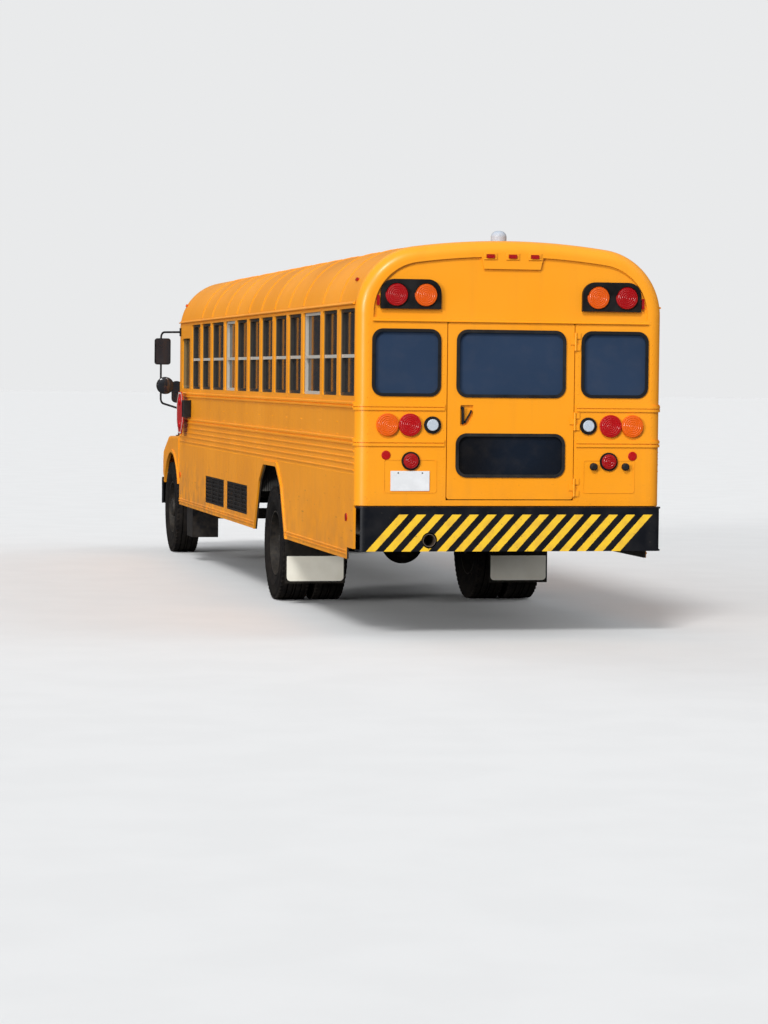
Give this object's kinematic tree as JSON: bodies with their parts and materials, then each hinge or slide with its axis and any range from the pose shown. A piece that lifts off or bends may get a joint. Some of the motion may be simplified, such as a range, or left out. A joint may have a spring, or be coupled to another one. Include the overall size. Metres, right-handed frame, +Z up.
{
  "type": "school bus",
  "caption": "Full-size yellow school bus with a tilting hood, rear emergency door, two-leaf entrance door, stop arm and steered front wheels.",
  "frame": {"origin": "on the ground, on the centre line, halfway between the bumpers", "axes": "+Z up, -Y towards the front of the bus, +X to the bus's left"},
  "size_m": [2.932, 11.83, 3.1692],
  "materials": {
    "yellow_paint": "semi-gloss school bus yellow, dusty",
    "black_paint": "satin black",
    "red_paint": "semi-gloss red",
    "sash_metal": "dull anodised",
    "tinted_glass": "tinted, clean",
    "black_rubber": "matt",
    "floor_rubber": "ribbed matt sheet",
    "flap_rubber": "matt with a white lower panel",
    "black_plastic": "matt moulded",
    "red_lens": "clear moulded lens",
    "amber_lens": "clear moulded lens",
    "clear_lens": "clear moulded lens",
    "chassis_paint": "dull black",
    "engine_iron": "painted casting",
    "exhaust_steel": "heat stained",
    "seat_vinyl": "dark green vinyl",
    "seat_steel": "satin black",
    "dash_plastic": "grained",
    "tyre_rubber": "worn tread",
    "rim_paint": "black, dusty"
  },
  "bodies": {
    "root": {"side_wall_left": "yellow_paint", "side_wall_right": "yellow_paint", "skirt_left": "yellow_paint", "skirt_right": "yellow_paint", "roof": "yellow_paint", "rear_wall": "yellow_paint", "rear_cap": "yellow_paint", "front_wall": "yellow_paint", "front_cap": "yellow_paint", "cowl": "yellow_paint", "skirt_grilles": "black_paint", "window_frames": "sash_metal", "window_glass": "tinted_glass", "floor": "floor_rubber", "bumpers": "black_paint", "lamp_housings": "black_plastic", "red_lenses": "red_lens", "amber_lenses": "amber_lens", "clear_lenses": "clear_lens", "mirrors": "black_plastic", "chassis_frame": "chassis_paint", "engine": "engine_iron", "rear_axle": "chassis_paint", "front_axle": "chassis_paint", "leaf_springs": "chassis_paint", "exhaust": "exhaust_steel", "fuel_tank": "black_paint", "battery_box": "black_paint", "mud_flaps": "flap_rubber", "seat_cushions": "seat_vinyl", "seat_frames": "seat_steel", "driver_seat": "seat_vinyl", "dashboard": "dash_plastic"},
    "hood": {"hood": "yellow_paint", "grille": "black_plastic", "headlamps": "clear_lens", "fender_mirrors": "black_plastic"},
    "rear_door": {"rear_door": "yellow_paint", "rear_door_glass": "tinted_glass", "rear_door_trim": "black_rubber"},
    "entry_leaf_front": {"entry_leaf_front": "black_paint", "entry_glass_front": "tinted_glass"},
    "entry_leaf_rear": {"entry_leaf_rear": "black_paint", "entry_glass_rear": "tinted_glass"},
    "stop_arm": {"stop_arm_blade": "red_paint"},
    "hatch_front": {"hatch_lid_front": "yellow_paint"},
    "hatch_rear": {"hatch_lid_rear": "yellow_paint"},
    "steering_wheel": {"steering_wheel": "black_plastic"},
    "knuckle_left": {"knuckle_left": "chassis_paint"},
    "knuckle_right": {"knuckle_right": "chassis_paint"},
    "tie_rod": {"tie_rod": "chassis_paint"},
    "wheel_front_left": {"tyre_front_left": "tyre_rubber", "rim_front_left": "rim_paint"},
    "wheel_front_right": {"tyre_front_right": "tyre_rubber", "rim_front_right": "rim_paint"},
    "wheels_rear_left": {"tyre_rear_left": "tyre_rubber", "rim_rear_left": "rim_paint"},
    "wheels_rear_right": {"tyre_rear_right": "tyre_rubber", "rim_rear_right": "rim_paint"}
  },
  "joints": [
    {"name": "steer_left", "type": "hinge", "parent": "root", "child": "knuckle_left", "pos_m": [0.96, -5.04, 0.51], "axis": [0, 0, 1], "range_deg": [-38, 38]},
    {"name": "steer_right", "type": "hinge", "parent": "root", "child": "knuckle_right", "pos_m": [-0.96, -5.04, 0.51], "axis": [0, 0, 1], "range_deg": [-38, 38]},
    {"name": "tie_rod_pivot", "type": "hinge", "parent": "knuckle_left", "child": "tie_rod", "pos_m": [0.96, -4.87, 0.4], "axis": [0, 0, 1], "range_deg": [-38, 38]},
    {"name": "steering_wheel_turn", "type": "hinge", "parent": "root", "child": "steering_wheel", "pos_m": [0.62, -3.6147, 1.69], "axis": [0, 0.5736, 0.8192], "range_deg": [-684, 684]},
    {"name": "roll_front_left", "type": "hinge", "parent": "knuckle_left", "child": "wheel_front_left", "pos_m": [1.02, -5.04, 0.51], "axis": [1, 0, 0], "continuous": true},
    {"name": "roll_front_right", "type": "hinge", "parent": "knuckle_right", "child": "wheel_front_right", "pos_m": [-1.02, -5.04, 0.51], "axis": [1, 0, 0], "continuous": true},
    {"name": "roll_rear_left", "type": "hinge", "parent": "root", "child": "wheels_rear_left", "pos_m": [0.89, 1.97, 0.51], "axis": [1, 0, 0], "continuous": true},
    {"name": "roll_rear_right", "type": "hinge", "parent": "root", "child": "wheels_rear_right", "pos_m": [-0.89, 1.97, 0.51], "axis": [1, 0, 0], "continuous": true},
    {"name": "hood_tilt", "type": "hinge", "parent": "root", "child": "hood", "pos_m": [0, -5.73, 0.88], "axis": [1, 0, 0], "range_deg": [0, 75]},
    {"name": "rear_door_swing", "type": "hinge", "parent": "root", "child": "rear_door", "pos_m": [-0.512, 5.862, 1.75], "axis": [0, 0, 1], "range_deg": [0, 110]},
    {"name": "entry_front_swing", "type": "hinge", "parent": "root", "child": "entry_leaf_front", "pos_m": [-1.231, -3.77, 1.5], "axis": [0, 0, 1], "range_deg": [0, 92]},
    {"name": "entry_rear_swing", "type": "hinge", "parent": "root", "child": "entry_leaf_rear", "pos_m": [-1.231, -3.07, 1.5], "axis": [0, 0, 1], "range_deg": [-92, 0]},
    {"name": "stop_arm_swing", "type": "hinge", "parent": "root", "child": "stop_arm", "pos_m": [1.283, -3.15, 1.6], "axis": [0, 0, 1], "range_deg": [0, 90]},
    {"name": "hatch_front_lift", "type": "hinge", "parent": "root", "child": "hatch_front", "pos_m": [0, -1.396, 3.088], "axis": [1, 0, 0], "range_deg": [0, 80]},
    {"name": "hatch_rear_lift", "type": "hinge", "parent": "root", "child": "hatch_rear", "pos_m": [0, 2.604, 3.088], "axis": [1, 0, 0], "range_deg": [0, 80]}
  ],
  "couplings": [
    {"joint": "steer_right", "follows": "steer_left", "ratio": 1},
    {"joint": "tie_rod_pivot", "follows": "steer_left", "ratio": -1},
    {"joint": "steering_wheel_turn", "follows": "steer_left", "ratio": 18},
    {"joint": "entry_rear_swing", "follows": "entry_front_swing", "ratio": -1}
  ]
}
